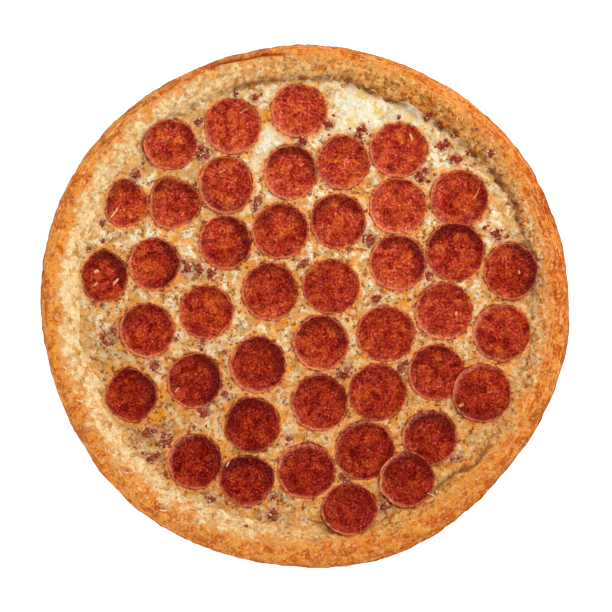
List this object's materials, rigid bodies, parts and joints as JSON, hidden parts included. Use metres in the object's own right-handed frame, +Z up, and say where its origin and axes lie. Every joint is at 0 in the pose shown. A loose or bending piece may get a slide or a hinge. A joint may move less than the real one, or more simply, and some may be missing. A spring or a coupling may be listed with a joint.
{
  "type": "pepperoni pizza",
  "caption": "Whole round pepperoni pizza, uncut, with a puffed golden crust, melted cheese, crumbs of cooked meat and slices of pepperoni, lying flat.",
  "frame": {"origin": "middle of the flat underside, where the pizza rests", "axes": "+Z up through the topping side, +Y towards the top of the picture, +X to its right"},
  "size_m": [0.35, 0.3461, 0.0223],
  "materials": {
    "crust": "baked, dry and matte",
    "cheese": "melted, soft sheen",
    "pepperoni": "cooked, slightly oily"
  },
  "bodies": {
    "root": {"crust": "crust", "cheese": "cheese", "pepperoni_01": "pepperoni", "pepperoni_02": "pepperoni", "pepperoni_03": "pepperoni", "pepperoni_04": "pepperoni", "pepperoni_05": "pepperoni", "pepperoni_06": "pepperoni", "pepperoni_07": "pepperoni", "pepperoni_08": "pepperoni", "pepperoni_09": "pepperoni", "pepperoni_10": "pepperoni", "pepperoni_11": "pepperoni", "pepperoni_12": "pepperoni", "pepperoni_13": "pepperoni", "pepperoni_14": "pepperoni", "pepperoni_15": "pepperoni", "pepperoni_16": "pepperoni", "pepperoni_17": "pepperoni", "pepperoni_18": "pepperoni", "pepperoni_19": "pepperoni", "pepperoni_20": "pepperoni", "pepperoni_21": "pepperoni", "pepperoni_22": "pepperoni", "pepperoni_23": "pepperoni", "pepperoni_24": "pepperoni", "pepperoni_25": "pepperoni", "pepperoni_26": "pepperoni", "pepperoni_27": "pepperoni", "pepperoni_28": "pepperoni", "pepperoni_29": "pepperoni", "pepperoni_30": "pepperoni", "pepperoni_31": "pepperoni", "pepperoni_32": "pepperoni", "pepperoni_33": "pepperoni", "pepperoni_34": "pepperoni", "pepperoni_35": "pepperoni", "pepperoni_36": "pepperoni", "pepperoni_37": "pepperoni", "pepperoni_38": "pepperoni", "pepperoni_39": "pepperoni", "pepperoni_40": "pepperoni", "pepperoni_41": "pepperoni", "pepperoni_42": "pepperoni"}
  },
  "joints": []
}
